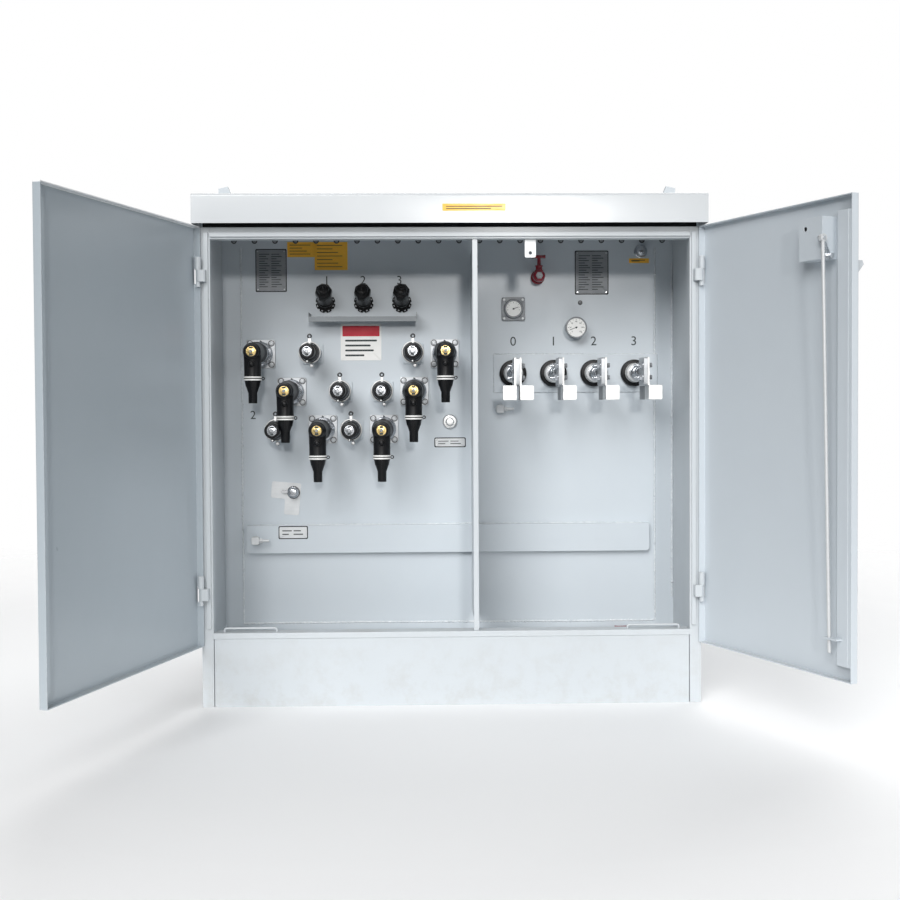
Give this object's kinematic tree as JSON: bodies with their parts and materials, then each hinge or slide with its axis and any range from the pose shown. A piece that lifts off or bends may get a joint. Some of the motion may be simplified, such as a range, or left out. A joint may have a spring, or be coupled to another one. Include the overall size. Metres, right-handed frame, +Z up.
{
  "type": "pad-mounted distribution transformer",
  "caption": "Grey three-phase pad-mounted distribution transformer with open cabinet doors, dead-front elbows and low-voltage spades.",
  "frame": {"origin": "on the floor, at the middle of the tank's base", "axes": "+X to the right facing the doors, +Y back into the tank, +Z up"},
  "size_m": [2.3814, 2.6945, 1.906],
  "materials": {
    "grey_paint": "satin light grey enamel",
    "plated_steel": "zinc-plated",
    "tinned_copper": "tin-plated",
    "black_rubber": "moulded rubber with a slight sheen",
    "black_resin": "glossy moulded resin",
    "red_paint": "gloss red enamel"
  },
  "bodies": {
    "transformer": {"apron": "grey_paint", "barrier": "grey_paint", "cabinet_left_side": "grey_paint", "cabinet_right_side": "grey_paint", "channel_bar": "grey_paint", "drain_valve": "red_paint", "drip_shield": "grey_paint", "fill_valve": "red_paint", "fuse_holders": "black_resin", "ground_connectors": "plated_steel", "head_beam": "grey_paint", "hinge_blocks": "grey_paint", "hood": "grey_paint", "hv_bushings": "plated_steel", "hv_elbows": "black_rubber", "keeper_tab": "grey_paint", "left_post": "grey_paint", "left_radiator": "grey_paint", "level_gauge": "plated_steel", "lifting_lugs": "grey_paint", "lv_bushings": "black_resin", "lv_plate": "grey_paint", "lv_spades": "tinned_copper", "lv_terminal_plates": "tinned_copper", "parking_bushings": "black_rubber", "radiator_headers": "grey_paint", "relief_valve": "plated_steel", "right_post": "grey_paint", "right_radiator": "grey_paint", "selector_knob": "plated_steel", "sill": "grey_paint", "sill_handles": "grey_paint", "tank": "grey_paint", "tank_cover": "grey_paint", "tank_front_plate": "grey_paint", "tap_plate": "plated_steel", "temperature_gauge": "plated_steel"},
    "left_door_leaf": {"left_door": "grey_paint", "left_door_knuckles": "grey_paint"},
    "right_door_leaf": {"right_door": "grey_paint", "right_door_knuckles": "grey_paint", "door_stiffener": "grey_paint", "lock_box": "grey_paint", "padlock_hood": "grey_paint", "rod_guide": "grey_paint"},
    "latch_crank_arm": {"latch_crank": "plated_steel"},
    "latch_rod_bar": {"latch_rod": "plated_steel"},
    "tap_pointer": {"tap_knob": "plated_steel"},
    "fill_valve_tee": {"fill_valve_handle": "red_paint"},
    "drain_valve_tee": {"drain_valve_handle": "red_paint"}
  },
  "joints": [
    {"name": "left_door_hinge", "type": "hinge", "parent": "transformer", "child": "left_door_leaf", "pos_m": [-0.873, -0.975, 0.9], "axis": [0, 0, -1], "range_deg": [-106, 18]},
    {"name": "right_door_hinge", "type": "hinge", "parent": "transformer", "child": "right_door_leaf", "pos_m": [0.873, -0.975, 0.9], "axis": [0, 0, 1], "range_deg": [-113, 10]},
    {"name": "latch_crank_pivot", "type": "hinge", "parent": "right_door_leaf", "child": "latch_crank_arm", "pos_m": [1.1228, -1.59933, 1.494], "axis": [0.3907, -0.9205, 0], "range_deg": [0, 30]},
    {"name": "latch_rod_pivot", "type": "hinge", "parent": "latch_crank_arm", "child": "latch_rod_bar", "pos_m": [1.10129, -1.62073, 1.54698], "axis": [0.3907, -0.9205, 0], "range_deg": [-32, 2]},
    {"name": "tap_changer", "type": "hinge", "parent": "transformer", "child": "tap_pointer", "pos_m": [-0.604, -0.47, 0.718], "axis": [0, -1, 0], "range_deg": [0, 90]},
    {"name": "fill_valve_stem", "type": "hinge", "parent": "transformer", "child": "fill_valve_tee", "pos_m": [0.345, -0.5132, 1.584], "axis": [0, 0, 1], "range_deg": [0, 360]},
    {"name": "drain_valve_stem", "type": "hinge", "parent": "transformer", "child": "drain_valve_tee", "pos_m": [0.657, -0.5132, 0.158], "axis": [0, 0, 1], "range_deg": [0, 360]}
  ],
  "couplings": [
    {"joint": "latch_rod_pivot", "follows": "latch_crank_pivot", "ratio": -0.96298}
  ]
}
